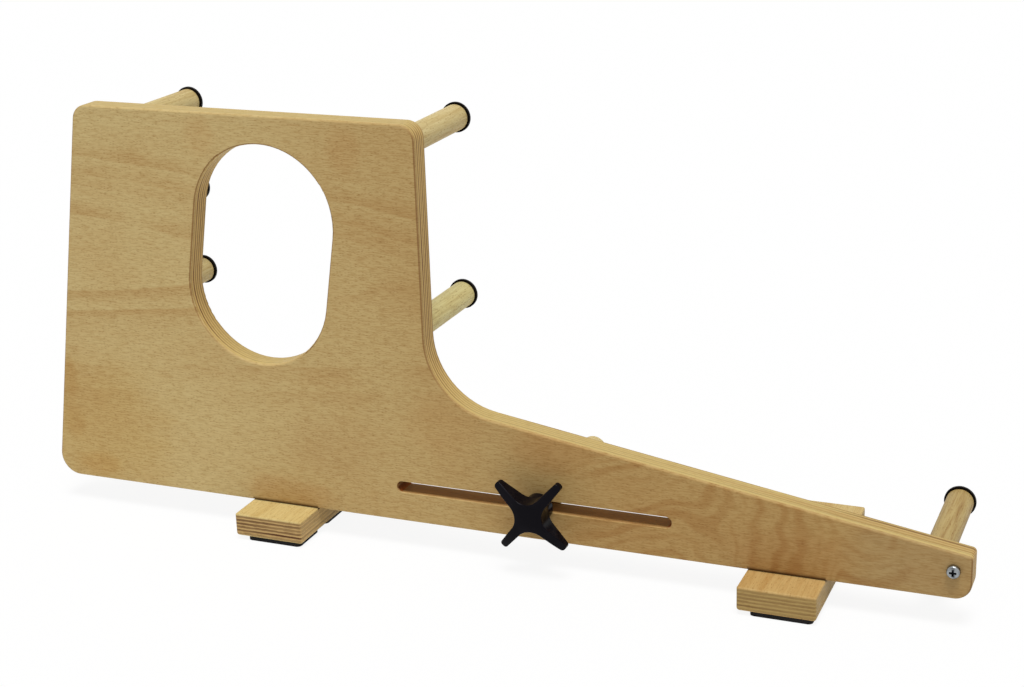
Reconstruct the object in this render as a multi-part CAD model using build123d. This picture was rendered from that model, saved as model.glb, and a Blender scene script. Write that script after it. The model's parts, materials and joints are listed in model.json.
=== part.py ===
from build123d import *
import os
from math import cos, radians, sin, tan

# Table-top band loom: an upright plywood panel on two cross feet, with fixed
# pegs, one peg that slides in a slot to set the tension, and a clamp knob.
# Sizes are in millimetres. They are set in the loom's own layout: x from the
# heel corner along the bottom edge, y from the plain front face towards the
# pegs, z from the top of the feet. At the end every piece moves to the part's
# frame, which has its origin on the table under the middle of the loom.

# Panel outline
panel_length = 720.0
panel_height = 300.0
panel_thick = 18.0
lean_angle = 9.3            # the heel edge leans in and the arm falls by this angle
tower_width = 326.3         # heel corner to the upright edge of the tall part
arm_tip_height = 31.8
heel_radius = 16.0
corner_radius = 12.0
arm_tip_radius = 3.4
throat_radius = 57.0        # inside curve between the tall part and the arm
edge_round = 1.5

# Hand hole, which leans like the heel edge
hole_radius = 56.6
hole_straight = 55.0
hole_from_heel = 197.6
hole_below_top = 104.8

# Fixed pegs, glued into blind sockets in the panel's back
peg_diameter = 20.0
peg_reach = 98.0            # wood that stands out of the panel
peg_end_chamfer = 0.6
socket_depth = 12.0
glue_gap = 0.05
row_below_top = 19.5
row_pitch = 69.5
left_column_from_heel = 74.2
right_column_inset = 20.6   # from the upright edge of the tall part
tip_peg_inset = 27.1        # from the arm's end
tip_peg_height = 19.2

# Black caps on the peg ends
cap_lip = 1.6
cap_thick = 2.5
cap_edge_round = 0.8
cap_stem_diameter = 8.0
cap_stem_length = 14.0
cap_stem_chamfer = 1.0
cap_hole_spare = 1.0        # room left past the stem

# Tension slot and what slides in it
stud_diameter = 8.0
slot_side_gap = 0.3
slot_height = 27.2          # slot axis above the panel's bottom edge
slot_from_heel = 299.0      # outer end of the slot
slot_length = 212.2
slot_edge_round = 0.6
tension_from_slot_end = 113.5
tension_peg_reach = 97.0
tension_peg_round = 2.5
stud_in_peg = 36.0
stud_in_knob = 13.0
stud_point = 5.0
thread_gap = 0.05
stud_chamfer = 0.8
point_share = 0.25          # radius left at the tip of a screw's or stud's point

# Clamp washer, knob and its threaded insert
washer_diameter = 16.0
washer_thick = 1.6
washer_bore_gap = 0.2
boss_diameter = 21.0
knob_height = 23.2
knob_reach = 33.9
arm_root_height = 8.2       # underside of an arm where it leaves the boss
arm_end_underside = 12.9
arm_end_top = 17.4
arm_half_width = 2.8        # at its end
arm_taper = 0.05
arm_end_radius = 2.4
knob_waist_radius = 12.4    # inside curve between two arms
knob_angle = 49.6           # first arm, from the bottom edge's direction
knob_edge_round = 0.8
knob_arms = 4
insert_wall = 2.0
insert_length = 14.0
knob_hole_spare = 2.0

# Cross feet
foot_width = 55.6
foot_length = 156.0
foot_thick = 18.0
foot_front = 27.6           # part of a foot that stands out in front of the panel
left_foot_from_heel = 203.4
right_foot_from_tip = 126.2
foot_corner_round = 1.5
foot_top_round = 1.2
foot_bottom_round = 2.5

# Rubber pads under the feet, one before and one behind the screws
pad_width = 44.0
pad_thick = 3.0
pad_end_inset = 1.6
front_pad_length = 30.5
rear_pad_start = 17.0       # from the panel's front face
pad_side_shift = 3.0        # the pads are stuck on a little off the middle
pad_corner = 3.5

# Foot screws, countersunk from below into the panel's bottom edge
foot_screw_diameter = 4.5
foot_screw_head = 9.0
foot_screw_length = 50.0
foot_screw_sink = 0.3       # head below the foot's underside
foot_screw_spacing = 30.0
foot_screw_point = 6.0
screw_gap = 0.05
foot_hole_gap = 0.25

# Pan-head screw near the arm's end
tip_screw_inset = 12.4
tip_screw_height = 20.8
tip_screw_diameter = 4.8
tip_screw_length = 15.0
tip_screw_point = 4.0
pan_head_diameter = 9.4
pan_head_height = 4.2
pan_head_crown = 2.0
pan_head_edge = 0.3

# Cross recess of the screws
recess_width = 1.5
recess_reach = 2.5
recess_depth = 2.0

BASE = (Align.CENTER, Align.CENTER, Align.MIN)
FRONT = Plane.XZ            # faces the viewer, with x along the panel and z up
LEAN = tan(radians(lean_angle))

# Places that several pieces share
tip_x = panel_length
peg_radius = peg_diameter / 2
slot_width = stud_diameter + 2 * slot_side_gap
tension_x = slot_from_heel + tension_from_slot_end
left_column_x = left_column_from_heel
right_column_x = tower_width - right_column_inset
top_row_z = panel_height - row_below_top
middle_row_z = top_row_z - row_pitch
bottom_row_z = middle_row_z - row_pitch
foot_x = {"left": left_foot_from_heel, "right": tip_x - right_foot_from_tip}
foot_back = foot_length - foot_front
foot_screw_y = panel_thick / 2
foot_screw_bite = foot_screw_length - foot_thick + foot_screw_sink
knob_base_y = -washer_thick

peg_places = {
    "top_left": (left_column_x, top_row_z),
    "upper_left": (left_column_x, middle_row_z),
    "lower_left": (left_column_x, bottom_row_z),
    "top_right": (right_column_x, top_row_z),
    "heddle": (right_column_x, bottom_row_z),
    "tip": (tip_x - tip_peg_inset, tip_peg_height),
}

# The loom's outermost x at the heel, where the rounded corner bulges furthest
heel_x = heel_radius * ((1 + sin(radians(lean_angle))) / cos(radians(lean_angle)) - 1)
to_part_frame = Pos(-(heel_x + tip_x) / 2, foot_front - foot_length / 2, foot_thick + pad_thick)


def towards_pegs(x, y, z):
    # Place whose own z axis points from the panel to the pegs' ends
    return Location((x, y, z), (-90, 0, 0))


def towards_viewer(x, y, z):
    # Place whose own z axis points out of the panel's front face
    return Location((x, y, z), (90, 0, 0))


def pointed_bar(radius, length, point):
    # Round bar from z = 0 that ends in a cone
    return Cylinder(radius, length - point, align=BASE) + Pos(0, 0, length - point) * Cone(
        radius, radius * point_share, point, align=BASE
    )


def cross_recess():
    # Cross-shaped driver recess, cut downwards from z = 0
    low = (Align.CENTER, Align.CENTER, Align.MAX)
    slit = Box(2 * recess_reach, recess_width, recess_depth, align=low)
    return slit + Rot(0, 0, 90) * slit


def panel_outline():
    throat_z = arm_tip_height + (tip_x - tower_width) * LEAN
    corners = [
        ((0, 0), heel_radius),
        ((tip_x, 0), corner_radius),
        ((tip_x, arm_tip_height), arm_tip_radius),
        ((tower_width, throat_z), throat_radius),
        ((tower_width, panel_height), corner_radius),
        ((panel_height * LEAN, panel_height), corner_radius),
    ]
    points = [point for point, radius in corners]
    radii = [radius for point, radius in corners]
    return make_face(FilletPolyline(*points, radius=radii, close=True))


def hand_hole():
    place = Pos(hole_from_heel, panel_height - hole_below_top)
    return place * Rot(0, 0, 90 - lean_angle) * SlotCenterToCenter(hole_straight, 2 * hole_radius)


def face_edges(solid):
    # Edges that lie in the panel's front or back face
    front = solid.edges().filter_by_position(Axis.Y, 0, 0)
    back = solid.edges().filter_by_position(Axis.Y, panel_thick, panel_thick)
    return front + back


def make_panel():
    board = extrude(FRONT * (panel_outline() - hand_hole()), amount=-panel_thick)
    board = fillet(face_edges(board), edge_round)

    slot_middle = Pos(slot_from_heel + slot_length / 2, slot_height)
    slot = slot_middle * SlotOverall(slot_length, slot_width)
    board -= extrude(FRONT * slot, amount=-panel_thick)
    slot_edges = [
        edge
        for edge in face_edges(board)
        if abs(edge.center().Z - slot_height) < slot_width
        and slot_from_heel <= edge.center().X <= slot_from_heel + slot_length
    ]
    board = fillet(slot_edges, slot_edge_round)

    for x, z in peg_places.values():
        socket = Cylinder(peg_radius + glue_gap, socket_depth, align=BASE)
        board -= towards_pegs(x, panel_thick - socket_depth, z) * socket
    for x in foot_x.values():
        for side in (-1, 1):
            pilot = pointed_bar(foot_screw_diameter / 2 + screw_gap, foot_screw_bite, foot_screw_point)
            board -= Pos(x + side * foot_screw_spacing / 2, foot_screw_y, 0) * pilot
    pilot = pointed_bar(tip_screw_diameter / 2 + screw_gap, tip_screw_length, tip_screw_point)
    board -= towards_pegs(tip_x - tip_screw_inset, 0, tip_screw_height) * pilot
    return board


def make_peg(x, z):
    length = socket_depth + peg_reach
    peg = Cylinder(peg_radius, length, align=BASE)
    peg = chamfer(peg.edges().group_by(Axis.Z)[-1], peg_end_chamfer)
    hole_depth = cap_stem_length + cap_hole_spare
    peg -= Pos(0, 0, length - hole_depth) * Cylinder(
        cap_stem_diameter / 2 + glue_gap, hole_depth, align=BASE
    )
    return towards_pegs(x, panel_thick - socket_depth, z) * peg


def make_cap(x, z):
    flange = Cylinder(peg_radius + cap_lip, cap_thick, align=BASE)
    flange = fillet(flange.edges().group_by(Axis.Z)[-1], cap_edge_round)
    stem = Pos(0, 0, -cap_stem_length) * Cylinder(cap_stem_diameter / 2, cap_stem_length, align=BASE)
    stem = chamfer(stem.edges().group_by(Axis.Z)[0], cap_stem_chamfer)
    return towards_pegs(x, panel_thick + peg_reach, z) * (flange + stem)


def make_tension_peg():
    peg = Cylinder(peg_radius, tension_peg_reach, align=BASE)
    peg = fillet(peg.edges().group_by(Axis.Z)[-1], tension_peg_round)
    peg -= pointed_bar(stud_diameter / 2 + thread_gap, stud_in_peg, stud_point)
    return towards_pegs(tension_x, panel_thick, slot_height) * peg


def make_tension_stud():
    # Hanger bolt: wood end in the peg, machine end through the slot into the knob
    wood_end = pointed_bar(stud_diameter / 2, stud_in_peg, stud_point)
    machine_length = panel_thick + washer_thick + stud_in_knob
    machine_end = Cylinder(stud_diameter / 2, machine_length, align=BASE)
    machine_end = chamfer(machine_end.edges().group_by(Axis.Z)[0], stud_chamfer)
    stud = wood_end + Pos(0, 0, -machine_length) * machine_end
    return towards_pegs(tension_x, panel_thick, slot_height) * stud


def make_clamp_washer():
    washer = Cylinder(washer_diameter / 2, washer_thick, align=BASE)
    washer -= Cylinder(stud_diameter / 2 + washer_bore_gap, washer_thick, align=BASE)
    return towards_viewer(tension_x, 0, slot_height) * washer


def knob_outline():
    # Arms with rounded ends, joined by inside curves
    half_gap = tan(radians(180 / knob_arms))
    waist = (arm_half_width + arm_taper * knob_reach) / (half_gap + arm_taper)
    arm = [
        ((knob_reach, -arm_half_width), arm_end_radius),
        ((knob_reach, arm_half_width), arm_end_radius),
        ((waist, waist * half_gap), knob_waist_radius),
    ]
    points = []
    radii = []
    for turn in range(knob_arms):
        for (x, y), radius in arm:
            points.append(Vector(x, y, 0).rotate(Axis.Z, 360 / knob_arms * turn))
            radii.append(radius)
    return make_face(FilletPolyline(*points, radius=radii, close=True))


def make_clamp_knob():
    # Arms between a domed top and an underside that rises towards their ends
    boss_radius = boss_diameter / 2
    drop = knob_height - arm_end_top
    dome_radius = (knob_reach**2 + drop**2) / (2 * drop)
    # The sphere lies on its side, so that its poles and seam miss the knob
    dome = Pos(0, 0, knob_height - dome_radius) * Rot(90, 0, 0) * Sphere(dome_radius)
    rise = knob_height - arm_root_height
    widening = (knob_reach - boss_radius) / (arm_end_underside - arm_root_height)
    cone = Cone(boss_radius, boss_radius + rise * widening, rise, align=BASE)
    arms = extrude(Pos(0, 0, arm_root_height) * knob_outline(), amount=rise)
    arms = arms & dome & Pos(0, 0, arm_root_height) * cone
    rim_floor = arm_end_underside + knob_edge_round
    rim = [edge for edge in arms.edges() if edge.bounding_box().min.Z > rim_floor]
    arms = fillet(rim, knob_edge_round)
    knob = arms + Cylinder(boss_radius, arm_root_height, align=BASE)
    knob -= Cylinder(stud_diameter / 2 + thread_gap + insert_wall, insert_length, align=BASE)
    knob -= Cylinder(stud_diameter / 2 + thread_gap, insert_length + knob_hole_spare, align=BASE)
    place = towards_viewer(tension_x, knob_base_y, slot_height)
    return place * Rot(0, 0, knob_angle) * knob


def make_knob_insert():
    bore = stud_diameter / 2 + thread_gap
    insert = Cylinder(bore + insert_wall, insert_length, align=BASE)
    insert -= Cylinder(bore, insert_length, align=BASE)
    return towards_viewer(tension_x, knob_base_y, slot_height) * insert


def make_foot(x):
    foot = Box(foot_width, foot_length, foot_thick, align=(Align.CENTER, Align.MIN, Align.MAX))
    foot = fillet(foot.edges().filter_by(Axis.Z), foot_corner_round)
    foot = fillet(foot.edges().group_by(Axis.Z)[-1], foot_top_round)
    foot = fillet(foot.edges().group_by(Axis.Z)[0], foot_bottom_round)
    foot = Pos(x, -foot_front, 0) * foot
    head_cone = (foot_screw_head - foot_screw_diameter) / 2
    for side in (-1, 1):
        place = Pos(x + side * foot_screw_spacing / 2, foot_screw_y, -foot_thick)
        foot -= place * Cylinder(foot_screw_diameter / 2 + foot_hole_gap, foot_thick, align=BASE)
        foot -= place * Cylinder(foot_screw_head / 2, foot_screw_sink, align=BASE)
        foot -= place * Pos(0, 0, foot_screw_sink) * Cone(
            foot_screw_head / 2, foot_screw_diameter / 2, head_cone, align=BASE
        )
    return foot


def make_pad(x, start, length):
    pad = Box(pad_width, length, pad_thick, align=(Align.CENTER, Align.MIN, Align.MAX))
    pad = fillet(pad.edges().filter_by(Axis.Z), pad_corner)
    return Pos(x + pad_side_shift, start, -foot_thick) * pad


def make_foot_screw():
    head_cone = (foot_screw_head - foot_screw_diameter) / 2
    head = Cone(foot_screw_head / 2, foot_screw_diameter / 2, head_cone, align=BASE)
    screw = head + Pos(0, 0, head_cone) * pointed_bar(
        foot_screw_diameter / 2, foot_screw_length - head_cone, foot_screw_point
    )
    return screw - Rot(180, 0, 0) * cross_recess()


def make_foot_screws():
    screws = []
    for x in foot_x.values():
        for side in (-1, 1):
            place = Pos(x + side * foot_screw_spacing / 2, foot_screw_y, foot_screw_sink - foot_thick)
            screws.append((place * make_foot_screw()).solid())
    return Compound(screws)


def make_tip_screw():
    head = Cylinder(pan_head_diameter / 2, pan_head_height, align=BASE)
    head = fillet(head.edges().group_by(Axis.Z)[-1], pan_head_crown)
    head = chamfer(head.edges().group_by(Axis.Z)[0], pan_head_edge)
    head -= Pos(0, 0, pan_head_height) * cross_recess()
    shank = pointed_bar(tip_screw_diameter / 2, tip_screw_length, tip_screw_point)
    screw = head + Rot(180, 0, 0) * shank
    return towards_viewer(tip_x - tip_screw_inset, 0, tip_screw_height) * screw


def make_pieces():
    pieces = {"panel": make_panel()}
    for name, (x, z) in peg_places.items():
        pieces[name + "_peg"] = make_peg(x, z)
        pieces[name + "_cap"] = make_cap(x, z)
    for side, x in foot_x.items():
        pieces[side + "_foot"] = make_foot(x)
        pieces[side + "_front_pad"] = make_pad(x, pad_end_inset - foot_front, front_pad_length)
        rear_pad_length = foot_back - pad_end_inset - rear_pad_start
        pieces[side + "_rear_pad"] = make_pad(x, rear_pad_start, rear_pad_length)
    pieces["foot_screws"] = make_foot_screws()
    pieces["tip_screw"] = make_tip_screw()
    pieces["tension_peg"] = make_tension_peg()
    pieces["tension_stud"] = make_tension_stud()
    pieces["clamp_washer"] = make_clamp_washer()
    pieces["clamp_knob"] = make_clamp_knob()
    pieces["knob_insert"] = make_knob_insert()
    return pieces


os.makedirs("parts", exist_ok=True)
for name, piece in make_pieces().items():
    export_step(to_part_frame * piece, f"parts/{name}.step")
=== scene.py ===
import json
import math

import bpy
from mathutils import Matrix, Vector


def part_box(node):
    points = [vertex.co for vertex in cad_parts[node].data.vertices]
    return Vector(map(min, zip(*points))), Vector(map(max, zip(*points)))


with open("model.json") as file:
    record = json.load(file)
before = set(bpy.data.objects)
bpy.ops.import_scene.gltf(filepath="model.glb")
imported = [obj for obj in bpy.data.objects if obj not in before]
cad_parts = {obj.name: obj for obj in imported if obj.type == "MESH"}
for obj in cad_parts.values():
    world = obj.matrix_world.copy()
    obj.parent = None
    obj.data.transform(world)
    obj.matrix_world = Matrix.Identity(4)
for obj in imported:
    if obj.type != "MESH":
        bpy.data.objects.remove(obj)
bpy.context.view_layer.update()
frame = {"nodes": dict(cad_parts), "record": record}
nodes = frame["nodes"]
print("frame loaded with", len(nodes), "nodes")


# Small helpers for building a material's nodes

fleckCore = 0.3         # share of a fleck's size that has its full strength
noiseSpan = (0.3, 0.7)  # where most of a noise's values lie
notZero = 1e-4          # added to what is divided by


def startMaterial(name):
    material = bpy.data.materials.new(name)
    material.use_nodes = True
    tree = material.node_tree
    return material, tree, tree.nodes["Principled BSDF"]


def addNode(tree, kind, inputs=None, **settings):
    made = tree.nodes.new(kind)
    for key, value in settings.items():
        setattr(made, key, value)
    for key, value in (inputs or {}).items():
        if isinstance(value, bpy.types.NodeSocket):
            tree.links.new(value, made.inputs[key])
        else:
            made.inputs[key].default_value = value
    return made


def calc(tree, operation, *values):
    return addNode(tree, "ShaderNodeMath", dict(enumerate(values)), operation=operation).outputs[0]


def squared(tree, value):
    return calc(tree, "MULTIPLY", value, value)


def squareSum(tree, x, z):
    return calc(tree, "ADD", squared(tree, x), squared(tree, z))


def ease(tree, value, low, high):
    # 0 below low, 1 above high, smooth in between; low may be the larger
    ends = {"Value": value, "From Min": low, "From Max": high}
    return addNode(tree, "ShaderNodeMapRange", ends, interpolation_type="SMOOTHSTEP").outputs[0]


def scaled(tree, value, low, high):
    # Noise onto a range
    ends = {"Value": value, "From Min": noiseSpan[0], "From Max": noiseSpan[1], "To Min": low, "To Max": high}
    return addNode(tree, "ShaderNodeMapRange", ends).outputs[0]


def joinAxes(tree, x, y, z):
    return addNode(tree, "ShaderNodeCombineXYZ", {"X": x, "Y": y, "Z": z}).outputs[0]


def stretched(tree, coords, perMetre):
    return addNode(tree, "ShaderNodeVectorMath", {0: coords, 1: perMetre}, operation="MULTIPLY").outputs[0]


def cloud(tree, coords, grain):
    # Noise of a grain's own scale; perMetre counts its waves along each axis
    inputs = {"Vector": stretched(tree, coords, grain["perMetre"]), "Scale": 1.0, "Detail": grain["detail"],
              "Roughness": grain.get("rough", 0.5), "Distortion": grain.get("swirl", 0.0)}
    return addNode(tree, "ShaderNodeTexNoise", inputs).outputs["Fac"]


def centredCloud(tree, coords, grain):
    return calc(tree, "SUBTRACT", cloud(tree, coords, grain), 0.5)


def flecks(tree, coords, grain):
    # Lens-shaped dashes, each of its own strength
    inputs = {"Vector": stretched(tree, coords, grain["perMetre"]), "Scale": 1.0}
    cells = addNode(tree, "ShaderNodeTexVoronoi", inputs).outputs
    strength = addNode(tree, "ShaderNodeSeparateColor", {0: cells["Color"]}).outputs[0]
    dash = ease(tree, cells["Distance"], grain["size"], grain["size"] * fleckCore)
    return calc(tree, "MULTIPLY", dash, strength)


def blend(tree, amount, base, colour, how="MIX"):
    mixed = addNode(tree, "ShaderNodeMix", data_type="RGBA", blend_type=how)
    for index, value in ((0, amount), (6, base), (7, colour)):
        if isinstance(value, bpy.types.NodeSocket):
            tree.links.new(value, mixed.inputs[index])
        else:
            mixed.inputs[index].default_value = value if index == 0 else (*value, 1.0)
    return mixed.outputs[2]


def tinted(tree, colour, amount, tint, strength=1.0):
    return blend(tree, calc(tree, "MULTIPLY", amount, strength), colour, tint, "MULTIPLY")


def grained(tree, colour, noise, grain):
    # Colour tinted where a grain's noise runs high
    return tinted(tree, colour, ease(tree, noise, *grain["shows"]), grain["tint"], grain.get("strength", 1.0))


def blendValue(tree, amount, low, high):
    return addNode(tree, "ShaderNodeMix", {0: amount, 2: low, 3: high}).outputs[0]


def relief(tree, shader, height, depth, strength=1.0):
    bump = addNode(tree, "ShaderNodeBump", {"Height": height, "Distance": depth, "Strength": strength})
    tree.links.new(bump.outputs[0], shader.inputs["Normal"])


def surfacePlace(tree):
    # Where a point lies in the loom's frame, and which way its surface faces
    coords = addNode(tree, "ShaderNodeTexCoord")
    place = addNode(tree, "ShaderNodeSeparateXYZ", {0: coords.outputs["Object"]}).outputs
    facing = addNode(tree, "ShaderNodeSeparateXYZ", {0: coords.outputs["Normal"]}).outputs
    return coords.outputs["Object"], place, facing


def within(tree, value, low, high, soft):
    # 1 between low and high, with soft ends
    return calc(tree, "MULTIPLY", ease(tree, value, low - soft, low + soft),
                ease(tree, value, high + soft, high - soft))


def dress(node, material):
    node.data.materials.clear()
    node.data.materials.append(material)


# Plywood of the panel and the feet. The layers run through the solid by depth, so the
# edges, the hand hole and the roundovers cut them as a saw would.

# How a saw cut shows the plies; this noise runs along, through and across the sheet
plyCut = {
    "sway": {"perMetre": (30.0, 30.0, 30.0), "detail": 2.0},
    "ragged": {"perMetre": (120.0, 700.0, 120.0), "detail": 3.0, "rough": 0.6},
    "patchy": {"perMetre": (16.0, 700.0, 16.0), "detail": 2.0}, "patchyRange": (0.55, 1.15),
    "streak": {"perMetre": (260.0, 1200.0, 260.0), "detail": 3.0, "rough": 0.6,
               "shows": (0.48, 0.75), "tint": (0.80, 0.72, 0.62), "strength": 0.7},
    "endLine": 0.30, "endLineTone": 0.80,       # strength of a line on an end, and what its ply's tone adds
    "sideLine": 0.55, "sideLineDepth": 1.1,     # strength on a long side, and what the depth adds
}


def plyEdge(tree, depth, thick, look, alongFacing, acrossFacing, edgeCoords, unlined=0.0):
    # Colour of a cut edge, whether a point is in an outer ply, and the lines, which the last argument takes
    # away
    plies = look["plies"]
    layer = calc(tree, "MULTIPLY", depth, plies / thick)
    outer = calc(tree, "MAXIMUM", calc(tree, "LESS_THAN", layer, 1.0),
                 calc(tree, "GREATER_THAN", layer, plies - 1.0))
    sway = centredCloud(tree, edgeCoords, plyCut["sway"])
    layer = calc(tree, "ADD", layer, calc(tree, "MULTIPLY", sway, look["wander"]))
    # 0 in the middle of a ply that runs with the face veneer, 1 in a crossed one
    crossed = calc(tree, "PINGPONG", calc(tree, "SUBTRACT", layer, 0.5), 1.0)
    ragged = centredCloud(tree, edgeCoords, plyCut["ragged"])
    crossed = calc(tree, "ADD", crossed, calc(tree, "MULTIPLY", ragged, look["ragged"]))

    edgeFacing = calc(tree, "ADD", squareSum(tree, alongFacing, acrossFacing), notZero)
    endOn = calc(tree, "DIVIDE", squared(tree, alongFacing), edgeFacing)
    dark = calc(tree, "MULTIPLY", ease(tree, crossed, *look["lines"]),
                blendValue(tree, endOn, look["lineOnSides"], look["lineOnEnds"]))
    plyTone = addNode(tree, "ShaderNodeTexWhiteNoise", {"W": calc(tree, "FLOOR", layer)},
                      noise_dimensions="1D").outputs["Value"]
    # Every crossed ply shows on the ends; on the long sides a few stand out, most of them deep in
    onEnds = calc(tree, "MULTIPLY_ADD", plyTone, plyCut["endLineTone"], plyCut["endLine"])
    deepIn = calc(tree, "MULTIPLY_ADD", depth, plyCut["sideLineDepth"] / thick, plyCut["sideLine"])
    onSides = calc(tree, "MULTIPLY", squared(tree, plyTone), deepIn)
    dark = calc(tree, "MULTIPLY", dark, blendValue(tree, endOn, onSides, onEnds))
    # Each line fades and comes back along its way
    patchy = cloud(tree, edgeCoords, plyCut["patchy"])
    dark = calc(tree, "MULTIPLY", dark, scaled(tree, patchy, *plyCut["patchyRange"]))
    dark = calc(tree, "MULTIPLY", dark, calc(tree, "SUBTRACT", 1.0, unlined))
    edge = blend(tree, dark, look["longGrain"], look["endGrain"])
    edge = tinted(tree, edge, endOn, look["endTint"])
    edge = grained(tree, edge, cloud(tree, edgeCoords, plyCut["streak"]), plyCut["streak"])
    return edge, outer, dark


varnish = {
    "specular": 0.13, "roughness": (0.46, 0.62),
    "rawRoughness": 0.95,       # where the varnish hasn't reached
    "rubbedTurn": (0.06, 0.25), "rubbedStrength": 0.18,
    "dents": 0.6, "grainDepth": 0.00012, "grainStrength": 0.5,
}
# Painted shade in the crevices where the panel stands on the feet
paintedJointShade = {
    "height": 0.0036, "fullAt": 0.0002,     # above the panel's foot
    "ends": 0.0005, "spill": 0.0012, "tint": (0.15, 0.10, 0.08),
}


def finishPlywood(tree, shader, colour, fibre, dashes, dark, faceOn, look, raw=0.0):
    # Worn, paler roundovers, satin varnish and a fine open grain
    turn = calc(tree, "MULTIPLY", faceOn, calc(tree, "SUBTRACT", 1.0, faceOn))
    rubbed = calc(tree, "MULTIPLY", ease(tree, turn, *varnish["rubbedTurn"]), varnish["rubbedStrength"])
    tree.links.new(blend(tree, rubbed, colour, look["rubbed"]), shader.inputs["Base Color"])
    roughness = blendValue(tree, raw, scaled(tree, fibre, *varnish["roughness"]), varnish["rawRoughness"])
    tree.links.new(roughness, shader.inputs["Roughness"])
    shader.inputs["Specular IOR Level"].default_value = varnish["specular"]
    dents = calc(tree, "MULTIPLY", calc(tree, "MAXIMUM", dashes, dark), varnish["dents"])
    height = calc(tree, "SUBTRACT", 1.0, calc(tree, "ADD", dents, fibre))
    relief(tree, shader, height, varnish["grainDepth"], varnish["grainStrength"])


# Growth rings of the flame figure: parabolas about one focus, far left of the panel
flame = {
    "focusX": -0.45, "axisHeight": 0.1865, "axisSoft": 0.2,
    "squeeze": 13.3,        # how much flatter than round the flame is
    "wander": {"perMetre": (9.0, 30.0, 14.0), "detail": 3.0}, "sway": 0.10,
    "rings": [
        # size, soft side, strength above the axis, strength below it
        (0.560, 0.085, 0.80, 0.80),
        (0.765, 0.075, 0.20, 0.90),
        (0.865, 0.080, 0.45, 0.40),
        (0.975, 0.085, 0.55, 0.15),
        (1.165, 0.100, 0.75, 0.15),
        (1.360, 0.120, 0.25, 0.60),
        (1.620, 0.140, 0.10, 0.35),
    ],
    "innerFade": 0.3, "outerFade": 2.0,     # in soft sides
    "tint": (0.86, 0.76, 0.67),
    "endsFrom": -0.03, "endsAt": 0.04,
}


def flameFigure(tree, coords, x, height):
    # Streaks that run in from the heel and close in arches at the tall part's upright edge
    sway = centredCloud(tree, coords, flame["wander"])
    dx = calc(tree, "SUBTRACT", x, flame["focusX"])
    dz = calc(tree, "MULTIPLY", calc(tree, "SUBTRACT", height, flame["axisHeight"]), flame["squeeze"])
    reach = calc(tree, "SQRT", squareSum(tree, dx, dz))
    size = calc(tree, "ADD", calc(tree, "ADD", reach, dx), calc(tree, "MULTIPLY", sway, flame["sway"]))
    above = ease(tree, dz, -flame["axisSoft"], flame["axisSoft"])
    streaks = 0.0
    for ringSize, soft, strengthAbove, strengthBelow in flame["rings"]:
        strength = blendValue(tree, above, strengthBelow, strengthAbove)
        past = calc(tree, "SUBTRACT", size, ringSize)
        line = calc(tree, "MINIMUM", ease(tree, past, -flame["innerFade"] * soft, 0.0),
                    ease(tree, past, flame["outerFade"] * soft, 0.0))
        streaks = calc(tree, "MAXIMUM", streaks, calc(tree, "MULTIPLY", line, strength))
    return calc(tree, "MULTIPLY", streaks, ease(tree, x, flame["endsAt"], flame["endsFrom"]))


# Curly figure of the arm: slanting streaks that turn upright and end in a swirl
armCurl = {
    "startsFrom": 0.06, "startsAt": 0.10,
    "turn": (0.172, 0.055), "turnsOver": 0.025,     # where slanting changes to upright
    "swirl": (0.286, 0.052), "swirlReach": 0.028,
    "fadesFrom": 0.305, "fadesAt": 0.325,
    "wander": {"perMetre": (22.0, 30.0, 40.0), "detail": 1.0}, "wave": 0.026,
    "slant": 0.40, "perMetre": 112.0, "shows": (0.42, 0.70), "strength": 0.9,
    "tint": (0.86, 0.76, 0.67),
}


def armFigure(tree, coords, x, height):
    turnX, turnZ = armCurl["turn"]
    dx = calc(tree, "SUBTRACT", x, turnX)
    dz = calc(tree, "SUBTRACT", height, turnZ)
    slanting = calc(tree, "SUBTRACT", calc(tree, "MULTIPLY", dx, armCurl["slant"]), dz)
    across = blendValue(tree, ease(tree, dx, -armCurl["turnsOver"], armCurl["turnsOver"]), slanting, dx)
    # The swirl's rings meet the upright streaks on its near side
    swirlX, swirlZ = armCurl["swirl"]
    outX = calc(tree, "SUBTRACT", x, swirlX)
    outZ = calc(tree, "SUBTRACT", height, swirlZ)
    out = calc(tree, "SQRT", squareSum(tree, outX, outZ))
    rings = calc(tree, "SUBTRACT", swirlX - turnX, out)
    swirlFrom, swirlAt = -armCurl["swirlReach"], -armCurl["swirlReach"] / 2
    across = blendValue(tree, ease(tree, outX, swirlFrom, swirlAt), across, rings)
    wave = centredCloud(tree, coords, armCurl["wander"])
    across = calc(tree, "ADD", across, calc(tree, "MULTIPLY", wave, armCurl["wave"]))
    bands = addNode(tree, "ShaderNodeTexNoise",
                    {"W": calc(tree, "MULTIPLY", across, armCurl["perMetre"]), "Scale": 1.0, "Detail": 0.0},
                    noise_dimensions="1D").outputs["Fac"]
    shown = calc(tree, "MULTIPLY", ease(tree, x, armCurl["startsFrom"], armCurl["startsAt"]),
                 ease(tree, x, armCurl["fadesAt"], armCurl["fadesFrom"]))
    shown = calc(tree, "MULTIPLY", shown, armCurl["strength"])
    return calc(tree, "MULTIPLY", ease(tree, bands, *armCurl["shows"]), shown)


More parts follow.
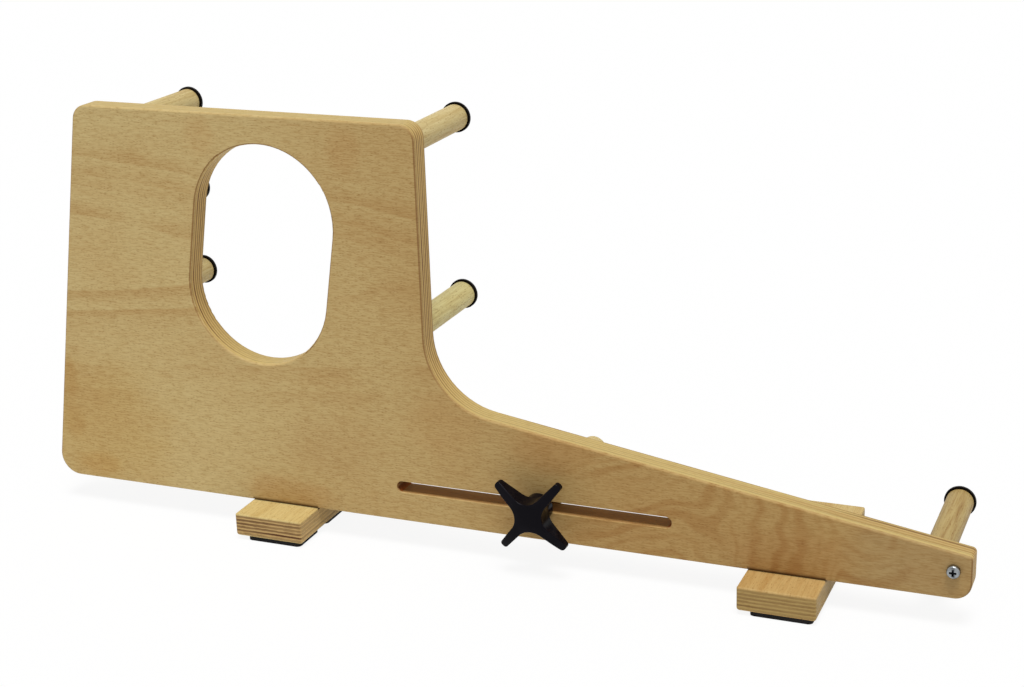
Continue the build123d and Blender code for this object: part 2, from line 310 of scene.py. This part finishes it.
panelPly = {
    "plies": 13,
    "faceLeft": (0.602, 0.463, 0.210), "faceRight": (0.471, 0.310, 0.117),
    "driftFrom": -0.27, "driftTo": 0.17,
    "mottle": {"perMetre": (14.0, 30.0, 30.0), "detail": 3.0, "rough": 0.55,
               "shows": (0.35, 0.75), "tint": (0.93, 0.86, 0.80), "strength": 0.6},
    "comeAndGo": {"perMetre": (12.0, 30.0, 24.0), "detail": 2.0, "shows": (0.28, 0.55)},
    "vessels": {"perMetre": (40.0, 300.0, 800.0), "detail": 2.0, "rough": 0.6,
                "shows": (0.42, 0.72), "tint": (0.92, 0.86, 0.80), "strength": 0.5},
    "fibre": {"perMetre": (130.0, 300.0, 1050.0), "detail": 2.0, "rough": 0.6,
              "shows": (0.42, 0.66), "tint": (0.86, 0.80, 0.73)},
    "flecks": {"perMetre": (340.0, 300.0, 1450.0), "size": 0.46, "tint": (0.70, 0.60, 0.50)},
    "fleckFade": (0.16, 0.30), "flecksAtTip": 0.45,
    "longGrain": (0.545, 0.405, 0.152), "endGrain": (0.110, 0.043, 0.016), "endTint": (1.08, 0.97, 0.88),
    "lines": (0.38, 0.60), "lineOnEnds": 1.0, "lineOnSides": 0.60, "wander": 0.5, "ragged": 0.6,
    "rubbed": (0.620, 0.470, 0.210),
    "markRim": {"perMetre": (30.0, 30.0, 50.0), "detail": 3.0}, "markRagged": 2.0, "markReach": 1.8,
    "stainsAndShadow": [
        # x, height above the panel's foot, half length, half height, tint, strength
        (-0.154, 0.010, 0.034, 0.014, (0.93, 0.80, 0.72), 0.7),
        (0.234, 0.012, 0.038, 0.020, (0.94, 0.83, 0.79), 0.5),
        # Partly a real stain, partly the knob's painted shadow on the panel above it
        (0.058, 0.074, 0.030, 0.020, (0.94, 0.84, 0.77), 0.9),
        (0.085, 0.018, 0.080, 0.022, (0.95, 0.92, 0.89), 0.9),
        (-0.021, 0.081, 0.030, 0.024, (0.96, 0.88, 0.82), 0.6),
        (-0.118, 0.053, 0.040, 0.022, (0.92, 0.87, 0.84), 0.6),
        (-0.343, 0.080, 0.008, 0.020, (0.90, 0.80, 0.68), 0.7),
        (-0.342, 0.048, 0.009, 0.014, (0.90, 0.80, 0.68), 0.6),
        (-0.324, 0.012, 0.018, 0.010, (0.94, 0.84, 0.70), 0.7),
        (-0.320, 0.045, 0.066, 0.055, (0.94, 0.87, 0.75), 0.9),
        (-0.206, 0.282, 0.012, 0.016, (0.94, 0.86, 0.80), 0.7),
        (-0.090, 0.280, 0.012, 0.018, (0.94, 0.86, 0.80), 0.7),
        (0.328, 0.035, 0.046, 0.090, (0.89, 0.93, 1.05), 0.9),
    ],
}

# Broad bands on the arm's sloping edge, where the saw has run along a ply
slopeEdge = {
    "wander": {"perMetre": (24.0, 60.0, 24.0), "detail": 2.0}, "sway": 0.14, "facingUp": (0.3, 0.7),
    "bands": [
        # share of the thickness from the front, soft side, x where it begins and is full, tint
        ((0.71, 0.83), 0.03, (0.240, 0.300), (0.46, 0.34, 0.28)),
        ((0.48, 0.66), 0.06, (0.080, 0.300), (0.88, 0.77, 0.72)),
        ((0.34, 0.42), 0.03, (0.160, 0.280), (0.68, 0.56, 0.46)),
        ((0.90, 0.96), 0.02, (-0.020, 0.060), (0.62, 0.52, 0.44)),
    ],
}

# The slot's walls, inside its rounded front edge, are tinted darker and redder, and its end walls darker
# still; they have no ply lines
slotCut = {
    "x": (-0.0624, 0.1498), "z": (0.0439, 0.0525), "soft": 0.0003,
    "wallFacing": (0.6, 0.2), "depth": (0.0007, 0.0016),
    "tint": (0.74, 0.34, 0.21), "endTint": (0.30, 0.32, 0.42),
}

# First glue line, which the rounded edges cut dark on the ends; under the hand hole's top, where the
# roundover faces down, the same strip is darkened as painted shade
glueLineAndShade = {
    "depth": (0.0001, 0.0009), "soft": 0.0001, "tint": (0.46, 0.31, 0.21),
    "holeAbove": 0.10, "facingDown": (0.1, 0.5),
}


def slopeFigure(tree, edge, coords, x, depth, thick, facingUp):
    wander = centredCloud(tree, coords, slopeEdge["wander"])
    sway = calc(tree, "MULTIPLY", wander, slopeEdge["sway"])
    share = calc(tree, "ADD", calc(tree, "DIVIDE", depth, thick), sway)
    onTop = ease(tree, facingUp, *slopeEdge["facingUp"])
    for ends, soft, start, tint in slopeEdge["bands"]:
        band = calc(tree, "MULTIPLY", within(tree, share, *ends, soft), ease(tree, x, *start))
        edge = tinted(tree, edge, calc(tree, "MULTIPLY", band, onTop), tint)
    return edge


def stainsAndShadowOnPanel(tree, colour, coords, x, height):
    # Ragged patches of colour: stains, and one that is partly the knob's painted shadow
    rim = calc(tree, "MULTIPLY", centredCloud(tree, coords, panelPly["markRim"]), panelPly["markRagged"])
    for markX, markZ, halfLength, halfHeight, tint, strength in panelPly["stainsAndShadow"]:
        dx = calc(tree, "DIVIDE", calc(tree, "SUBTRACT", x, markX), halfLength)
        dz = calc(tree, "DIVIDE", calc(tree, "SUBTRACT", height, markZ), halfHeight)
        reach = calc(tree, "ADD", squareSum(tree, dx, dz), rim)
        colour = tinted(tree, colour, ease(tree, reach, panelPly["markReach"], 0.0), tint, strength)
    return colour


def panelVeneer(tree, coords, x, height):
    # Face veneer: figure, stains with the knob's painted shadow among them, flecks and a slow drift of colour
    # to the tip
    look = panelPly
    drift = ease(tree, x, look["driftFrom"], look["driftTo"])
    colour = blend(tree, drift, look["faceLeft"], look["faceRight"])
    colour = grained(tree, colour, cloud(tree, coords, look["mottle"]), look["mottle"])
    comeAndGo = ease(tree, cloud(tree, coords, look["comeAndGo"]), *look["comeAndGo"]["shows"])
    for figure, tint in ((flameFigure, flame["tint"]), (armFigure, armCurl["tint"])):
        streaks = calc(tree, "MULTIPLY", figure(tree, coords, x, height), comeAndGo)
        colour = tinted(tree, colour, streaks, tint)
    colour = stainsAndShadowOnPanel(tree, colour, coords, x, height)
    colour = grained(tree, colour, cloud(tree, coords, look["vessels"]), look["vessels"])
    fibre = cloud(tree, coords, look["fibre"])
    colour = grained(tree, colour, fibre, look["fibre"])
    # Flecks die out towards the tip
    fleckShare = blendValue(tree, ease(tree, x, *look["fleckFade"]), 1.0, look["flecksAtTip"])
    dashes = calc(tree, "MULTIPLY", flecks(tree, coords, look["flecks"]), fleckShare)
    colour = tinted(tree, colour, dashes, look["flecks"]["tint"])
    return colour, fibre, dashes


def slotWalls(tree, place, faceOn, depth):
    # 1 on the slot's walls, 0 elsewhere
    opening = calc(tree, "MULTIPLY", within(tree, place["X"], *slotCut["x"], slotCut["soft"]),
                   within(tree, place["Z"], *slotCut["z"], slotCut["soft"]))
    wall = calc(tree, "MULTIPLY", ease(tree, faceOn, *slotCut["wallFacing"]),
                ease(tree, depth, *slotCut["depth"]))
    return calc(tree, "MULTIPLY", opening, wall)


def glueLineAndShadeShown(tree, depth, thick, height, facing):
    # 1 on the dark stretches of the first glue line on the ends, and on the painted shade under the hand
    # hole's top; at the front and at the back
    fromFace = calc(tree, "MINIMUM", depth, calc(tree, "SUBTRACT", thick, depth))
    line = within(tree, fromFace, *glueLineAndShade["depth"], glueLineAndShade["soft"])
    edgeFacing = calc(tree, "ADD", squareSum(tree, facing["X"], facing["Z"]), notZero)
    onEnd = calc(tree, "DIVIDE", squared(tree, facing["X"]), edgeFacing)
    # Painted shade on the down-facing roundover under the hand hole's top
    down = calc(tree, "MULTIPLY", facing["Z"], calc(tree, "MINIMUM", facing["Z"], 0.0))
    holeTopPaintedShade = calc(tree, "MULTIPLY", calc(tree, "GREATER_THAN", height, glueLineAndShade["holeAbove"]),
                   ease(tree, calc(tree, "DIVIDE", down, edgeFacing), *glueLineAndShade["facingDown"]))
    return calc(tree, "MULTIPLY", line, calc(tree, "MAXIMUM", onEnd, holeTopPaintedShade))


def makePanelPlywood():
    material, tree, shader = startMaterial("panel_plywood")
    coords, place, facing = surfacePlace(tree)
    low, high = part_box("panel")
    thick = high[1] - low[1]
    depth = calc(tree, "SUBTRACT", place["Y"], low[1])
    height = calc(tree, "SUBTRACT", place["Z"], low[2])
    faceOn = squared(tree, facing["Y"])
    inSlot = slotWalls(tree, place, faceOn, depth)
    edge, outer, dark = plyEdge(tree, depth, thick, panelPly, facing["X"], facing["Z"], coords, inSlot)
    edge = slopeFigure(tree, edge, coords, place["X"], depth, thick, facing["Z"])
    face, fibre, dashes = panelVeneer(tree, coords, place["X"], height)
    colour = blend(tree, outer, edge, face)
    colour = tinted(tree, colour, glueLineAndShadeShown(tree, depth, thick, height, facing), glueLineAndShade["tint"])
    colour = tinted(tree, colour, inSlot, slotCut["tint"])
    slotEnd = calc(tree, "MULTIPLY", inSlot, squared(tree, facing["X"]))
    colour = tinted(tree, colour, slotEnd, slotCut["endTint"])
    # Painted shade: a dark line along the joints with the feet, where the crevice under the panel is in shade
    for side in ("left", "right"):
        footLow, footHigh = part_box(side + "_foot")
        paintedJointMask = calc(tree, "MULTIPLY", within(tree, place["X"], footLow[0], footHigh[0], paintedJointShade["ends"]),
                     ease(tree, height, paintedJointShade["height"], paintedJointShade["fullAt"]))
        colour = tinted(tree, colour, paintedJointMask, paintedJointShade["tint"])
    finishPlywood(tree, shader, colour, fibre, dashes, dark, faceOn, panelPly, inSlot)
    return material


footPly = {
    "figure": {"perMetre": (90.0, 9.0, 40.0), "detail": 3.0, "rough": 0.6, "swirl": 0.4,
               "shows": (0.4, 0.72)},
    "fibre": {"perMetre": (1500.0, 70.0, 300.0), "detail": 3.0, "rough": 0.65,
              "shows": (0.40, 0.72), "tint": (0.80, 0.72, 0.62), "strength": 0.7},
    "flecks": {"perMetre": (900.0, 270.0, 300.0), "size": 0.42, "tint": (0.70, 0.60, 0.50)},
    "left": {
        "plies": 13,
        "faceFront": (0.615, 0.480, 0.206), "faceRear": (0.620, 0.480, 0.215),
        "figureTint": (0.86, 0.78, 0.66), "rubbed": (0.640, 0.480, 0.215),
        "longGrain": (0.570, 0.400, 0.168), "endGrain": (0.100, 0.040, 0.016), "endTint": (0.97, 0.92, 0.88),
        "lines": (0.14, 0.62), "lineOnEnds": 1.0, "lineOnSides": 0.9, "wander": 0.7, "ragged": 1.0,
    },
    "right": {
        "plies": 13,
        "faceFront": (0.526, 0.352, 0.136), "faceRear": (0.590, 0.460, 0.205),
        "figureTint": (0.84, 0.74, 0.62), "rubbed": (0.560, 0.390, 0.165),
        "longGrain": (0.445, 0.312, 0.117), "endGrain": (0.160, 0.084, 0.029), "endTint": (0.97, 0.94, 0.90),
        "lines": (0.12, 0.74), "lineOnEnds": 0.75, "lineOnSides": 0.8, "wander": 0.6, "ragged": 0.9,
    },
}


def makeFootPlywood(side):
    material, tree, shader = startMaterial(side + "_foot_plywood")
    coords, place, facing = surfacePlace(tree)
    low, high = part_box(side + "_foot")
    panelLow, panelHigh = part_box("panel")
    look = footPly[side]
    depth = calc(tree, "SUBTRACT", place["Z"], low[2])
    turned = joinAxes(tree, place["Y"], place["Z"], place["X"])
    edge, outer, dark = plyEdge(tree, depth, high[2] - low[2], look, facing["Y"], facing["X"], turned)
    rearward = ease(tree, place["Y"], panelLow[1], high[1])
    face = blend(tree, rearward, look["faceFront"], look["faceRear"])
    figure = ease(tree, cloud(tree, coords, footPly["figure"]), *footPly["figure"]["shows"])
    face = tinted(tree, face, figure, look["figureTint"])
    fibre = cloud(tree, coords, footPly["fibre"])
    face = grained(tree, face, fibre, footPly["fibre"])
    dashes = flecks(tree, coords, footPly["flecks"])
    face = tinted(tree, face, dashes, footPly["flecks"]["tint"])
    # Painted shade on the foot where the panel stands on it and just beside it
    paintedJointMask = within(tree, place["Y"], panelLow[1], panelHigh[1], paintedJointShade["spill"])
    face = tinted(tree, face, paintedJointMask, paintedJointShade["tint"])
    colour = blend(tree, outer, edge, face)
    finishPlywood(tree, shader, colour, fibre, dashes, dark, squared(tree, facing["Z"]), look)
    return material


dress(nodes["panel"], makePanelPlywood())
for side in ("left", "right"):
    dress(nodes[side + "_foot"], makeFootPlywood(side))
print("plywood done")


# Beech dowels

dowelLook = {
    "streak": {"perMetre": (160.0, 9.0, 160.0), "detail": 3.0, "rough": 0.6, "swirl": 0.3,
               "shows": (0.38, 0.7)},
    "grain": {"perMetre": (520.0, 24.0, 520.0), "detail": 3.0, "rough": 0.6, "shows": (0.46, 0.70)},
    "fibre": {"perMetre": (1300.0, 60.0, 1300.0), "detail": 3.0, "rough": 0.65,
              "shows": (0.40, 0.72), "tint": (0.82, 0.74, 0.64), "strength": 0.6},
    "flecks": {"perMetre": (900.0, 230.0, 900.0), "size": 0.42, "tint": (0.66, 0.55, 0.44)},
    "pores": {"perMetre": (1800.0, 300.0, 1800.0), "detail": 2.0, "shows": (0.4, 0.7)},
    "endFacing": (0.6, 0.9), "endGrain": (0.420, 0.305, 0.145), "endPores": (0.320, 0.220, 0.100),
    "roughness": (0.46, 0.62), "specular": 0.2, "grainDepth": 0.0001, "grainStrength": 0.5,
    "tones": {
        "straw": {"pale": (0.606, 0.494, 0.235), "dark": (0.540, 0.416, 0.174), "grain": (0.84, 0.78, 0.70)},
        "cream": {"pale": (0.706, 0.628, 0.298), "dark": (0.644, 0.544, 0.238), "grain": (0.84, 0.78, 0.70)},
        "honey": {"pale": (0.436, 0.323, 0.125), "dark": (0.348, 0.229, 0.079), "grain": (0.74, 0.64, 0.52)},
    },
    "timber": {"heddle_peg": "cream", "tip_peg": "honey"},      # all others are straw
}


def makeDowel(tone):
    material, tree, shader = startMaterial(tone + "_beech_dowel")
    coords, _, facing = surfacePlace(tree)
    look = dowelLook
    tones = look["tones"][tone]
    streak = ease(tree, cloud(tree, coords, look["streak"]), *look["streak"]["shows"])
    colour = blend(tree, streak, tones["pale"], tones["dark"])
    grain = ease(tree, cloud(tree, coords, look["grain"]), *look["grain"]["shows"])
    colour = tinted(tree, colour, grain, tones["grain"])
    fibre = cloud(tree, coords, look["fibre"])
    colour = grained(tree, colour, fibre, look["fibre"])
    dashes = flecks(tree, coords, look["flecks"])
    colour = tinted(tree, colour, dashes, look["flecks"]["tint"])
    pores = ease(tree, cloud(tree, coords, look["pores"]), *look["pores"]["shows"])
    ends = blend(tree, pores, look["endGrain"], look["endPores"])
    endOn = ease(tree, calc(tree, "ABSOLUTE", facing["Y"]), *look["endFacing"])
    tree.links.new(blend(tree, endOn, colour, ends), shader.inputs["Base Color"])
    tree.links.new(scaled(tree, fibre, *look["roughness"]), shader.inputs["Roughness"])
    shader.inputs["Specular IOR Level"].default_value = look["specular"]
    height = calc(tree, "SUBTRACT", 1.0, calc(tree, "ADD", fibre, dashes))
    relief(tree, shader, height, look["grainDepth"], look["grainStrength"])
    return material


dowels = {tone: makeDowel(tone) for tone in dowelLook["tones"]}
for name, node in nodes.items():
    if name.endswith("_peg"):
        dress(node, dowels[dowelLook["timber"].get(name, "straw")])
print("dowels done")


# Black plastic and rubber

blackLooks = {
    "cap_plastic": {"colour": (0.0046, 0.0030, 0.0022), "worn": (0.0086, 0.0062, 0.0046),
                    "roughness": (0.34, 0.46), "specular": 0.05, "grain": 900.0, "depth": 0.00008},
    "knob_plastic": {"colour": (0.0026, 0.0020, 0.0040), "worn": (0.0048, 0.0040, 0.0066),
                     "roughness": (0.17, 0.26), "specular": 0.06, "grain": 1400.0, "depth": 0.00005},
    "pad_rubber": {"colour": (0.0090, 0.0080, 0.0082), "worn": (0.0220, 0.0195, 0.0190),
                   "roughness": (0.70, 0.85), "specular": 0.15, "grain": 700.0, "depth": 0.00030},
}
blackWear = {"perMetre": (60.0, 60.0, 60.0), "detail": 3.0, "shows": (0.4, 0.75)}
skinStrength = 0.4      # how much the fine skin of plastic, rubber and metal tilts the light


def wornFinish(tree, shader, coords, look, wear):
    # A worn colour in patches, and a roughness that goes with them
    patches = cloud(tree, coords, wear)
    tree.links.new(scaled(tree, patches, *look["roughness"]), shader.inputs["Roughness"])
    return blend(tree, ease(tree, patches, *wear["shows"]), look["colour"], look["worn"])


def makeBlack(slot):
    material, tree, shader = startMaterial("black_" + slot)
    coords, *_ = surfacePlace(tree)
    look = blackLooks[slot]
    colour = wornFinish(tree, shader, coords, look, blackWear)
    tree.links.new(colour, shader.inputs["Base Color"])
    shader.inputs["Specular IOR Level"].default_value = look["specular"]
    skin = cloud(tree, coords, {"perMetre": (look["grain"],) * 3, "detail": 2.0})
    relief(tree, shader, skin, look["depth"], skinStrength)
    return material


# Zinc-plated steel and turned brass

metalLooks = {
    "zinc_steel": {"colour": (0.330, 0.350, 0.360), "worn": (0.090, 0.098, 0.104), "roughness": (0.20, 0.36)},
    "brass": {"colour": (0.66, 0.47, 0.20), "worn": (0.45, 0.31, 0.13), "roughness": (0.25, 0.42)},
}
metalWear = {"perMetre": (260.0, 260.0, 260.0), "detail": 2.0, "shows": (0.4, 0.75)}
metalSkin = {"perMetre": (1200.0, 1200.0, 1200.0), "detail": 2.0, "depth": 0.00004}
# Painted shade in the screw's driver recess
screwRecessShade = {"radius": 0.0030, "below": 0.00035, "colour": (0.010, 0.011, 0.014)}


def paintRecessShade(tree, colour, place):
    # Painted shade in the driver recess of the screw at the arm's tip
    low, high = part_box("tip_screw")
    dx = calc(tree, "SUBTRACT", place["X"], (low[0] + high[0]) / 2)
    dz = calc(tree, "SUBTRACT", place["Z"], (low[2] + high[2]) / 2)
    reach = calc(tree, "SQRT", squareSum(tree, dx, dz))
    sunk = calc(tree, "GREATER_THAN", place["Y"], low[1] + screwRecessShade["below"])
    inside = calc(tree, "MULTIPLY", sunk, calc(tree, "LESS_THAN", reach, screwRecessShade["radius"]))
    return blend(tree, inside, colour, screwRecessShade["colour"])


def makeMetal(slot):
    material, tree, shader = startMaterial("plated_" + slot)
    coords, place, _ = surfacePlace(tree)
    colour = wornFinish(tree, shader, coords, metalLooks[slot], metalWear)
    if slot == "zinc_steel":
        colour = paintRecessShade(tree, colour, place)
    tree.links.new(colour, shader.inputs["Base Color"])
    shader.inputs["Metallic"].default_value = 1.0
    relief(tree, shader, cloud(tree, coords, metalSkin), metalSkin["depth"], skinStrength)
    return material


finishes = {slot: makeBlack(slot) for slot in blackLooks}
finishes.update({slot: makeMetal(slot) for slot in metalLooks})
for row in frame["record"]["subparts"]:
    if row["material_slot"] in finishes:
        dress(nodes[row["node"]], finishes[row["material_slot"]])
print("plastic, rubber and metal done")


# Floor, light and camera

studio = {
    "floorHalf": 6.0,
    "floorColour": (0.86, 0.86, 0.86), "floorRoughness": 0.9,
    "floorWhite": 0.90,      # share of plain white that the camera sees over the lit floor
    "domeLight": 0.36,
    "overheadPower": 2.55, "overheadSpread": 24.0, "overheadTilt": (14.0, 24.0),
}


def makeFloor():
    half = studio["floorHalf"]
    mesh = bpy.data.meshes.new("floor")
    corners = [(-half, -half, 0), (half, -half, 0), (half, half, 0), (-half, half, 0)]
    mesh.from_pydata(corners, [], [(0, 1, 2, 3)])
    floor = bpy.data.objects.new("floor", mesh)
    bpy.context.scene.collection.objects.link(floor)
    material, tree, shader = startMaterial("white_floor")
    shader.inputs["Base Color"].default_value = (*studio["floorColour"], 1.0)
    shader.inputs["Roughness"].default_value = studio["floorRoughness"]
    shader.inputs["Specular IOR Level"].default_value = 0.0
    white = addNode(tree, "ShaderNodeEmission", {"Color": (1.0, 1.0, 1.0, 1.0), "Strength": 1.0})
    path = addNode(tree, "ShaderNodeLightPath").outputs
    seen = calc(tree, "MAXIMUM", path["Is Camera Ray"], path["Is Glossy Ray"])
    share = calc(tree, "MULTIPLY", seen, studio["floorWhite"])
    mixed = addNode(tree, "ShaderNodeMixShader", {0: share, 1: shader.outputs[0], 2: white.outputs[0]})
    tree.links.new(mixed.outputs[0], tree.nodes["Material Output"].inputs["Surface"])
    mesh.materials.append(material)


def makeWorld():
    world = bpy.data.worlds.new("studio")
    bpy.context.scene.world = world
    world.use_nodes = True
    tree = world.node_tree
    glow = tree.nodes["Background"]
    glow.inputs["Color"].default_value = (1.0, 1.0, 1.0, 1.0)
    path = addNode(tree, "ShaderNodeLightPath").outputs
    seen = calc(tree, "MAXIMUM", path["Is Camera Ray"],
                calc(tree, "MAXIMUM", path["Is Glossy Ray"], path["Is Transmission Ray"]))
    strength = blendValue(tree, seen, studio["domeLight"], 1.0)
    tree.links.new(strength, glow.inputs["Strength"])


def addSun(name):
    lamp = bpy.data.lights.new(name, "SUN")
    lamp.energy = studio[name + "Power"]
    lamp.angle = math.radians(studio[name + "Spread"])
    sun = bpy.data.objects.new(name, lamp)
    tilt, swing = studio[name + "Tilt"]
    aim = Matrix.Rotation(math.radians(swing), 4, "Z")
    sun.matrix_world = aim @ Matrix.Rotation(math.radians(tilt), 4, "X")
    bpy.context.scene.collection.objects.link(sun)


photoCamera = {
    "place": (0.507874, -1.162471, 0.588618),
    "turn": 20.8475, "down": 18.0374, "roll": -1.2512,
    "lens": 64.2325, "sensor": 36.0, "shift": (-0.065570, -0.035491),
    "clip": (0.05, 50.0),
}


def makeCamera():
    data = bpy.data.cameras.new("photo_camera")
    data.sensor_width = photoCamera["sensor"]
    data.lens = photoCamera["lens"]
    data.shift_x, data.shift_y = photoCamera["shift"]
    data.clip_start, data.clip_end = photoCamera["clip"]
    camera = bpy.data.objects.new("photo_camera", data)
    aim = Matrix.Rotation(math.radians(photoCamera["turn"]), 4, "Z")
    aim = aim @ Matrix.Rotation(math.radians(90.0 - photoCamera["down"]), 4, "X")
    aim = aim @ Matrix.Rotation(math.radians(photoCamera["roll"]), 4, "Z")
    camera.matrix_world = Matrix.Translation(photoCamera["place"]) @ aim
    bpy.context.scene.collection.objects.link(camera)
    bpy.context.scene.camera = camera


makeFloor()
makeWorld()
addSun("overhead")
makeCamera()
bpy.context.scene.view_settings.view_transform = "Standard"
print("studio and camera done")
